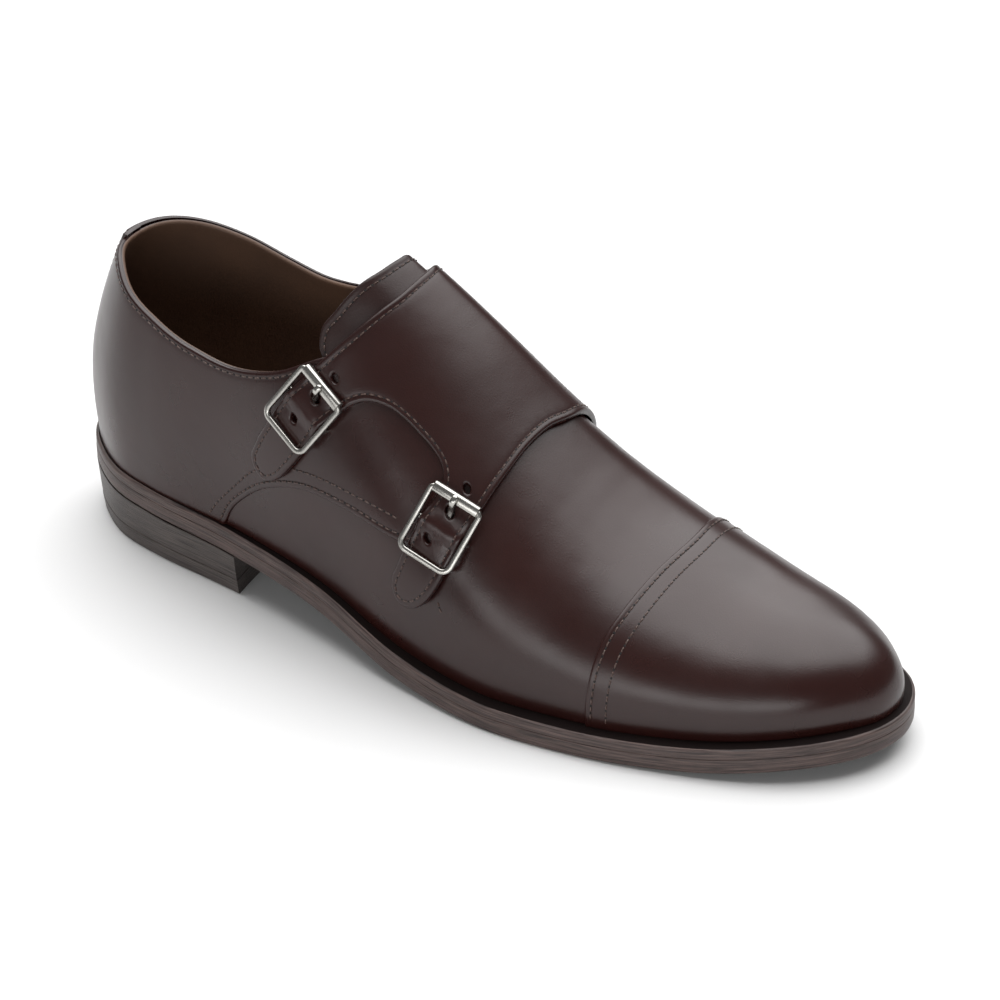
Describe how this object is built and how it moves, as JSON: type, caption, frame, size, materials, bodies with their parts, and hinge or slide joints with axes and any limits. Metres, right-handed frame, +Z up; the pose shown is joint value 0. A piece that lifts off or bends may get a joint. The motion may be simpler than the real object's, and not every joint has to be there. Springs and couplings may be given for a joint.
{
  "type": "double monk strap shoe",
  "caption": "Men's leather dress shoe with a straight toe cap, a two-strap instep piece, rectangular buckles and a low stacked heel.",
  "frame": {"origin": "on the floor under the middle of the shoe's box, standing on its sole", "axes": "+X along the shoe to the toe, +Y to the inner (medial) side, +Z up"},
  "size_m": [0.3032, 0.1028, 0.1196],
  "materials": {
    "upper_leather": "smooth polished dark brown calf with a soft gloss",
    "tongue_leather": "smooth dark brown leather, less polished",
    "lining": "matt brown lining leather",
    "insole_leather": "matt brown leather sock",
    "sole_leather": "dark brown stacked leather edge with fine lines, waxed",
    "heel_rubber": "matt dark rubber",
    "thread": "fine waxed brown thread",
    "buckle_metal": "polished nickel plate"
  },
  "bodies": {
    "root": {"upper": "upper_leather", "strap": "upper_leather", "tongue": "tongue_leather", "insole": "insole_leather", "welt": "sole_leather", "outsole": "sole_leather", "heel_stack": "sole_leather", "heel_top_piece": "heel_rubber", "upper_buckle_tab": "upper_leather", "upper_buckle_frame": "buckle_metal", "upper_buckle_roller": "buckle_metal", "upper_buckle_prong": "buckle_metal", "lower_buckle_tab": "upper_leather", "lower_buckle_frame": "buckle_metal", "lower_buckle_roller": "buckle_metal", "lower_buckle_prong": "buckle_metal"}
  },
  "joints": []
}
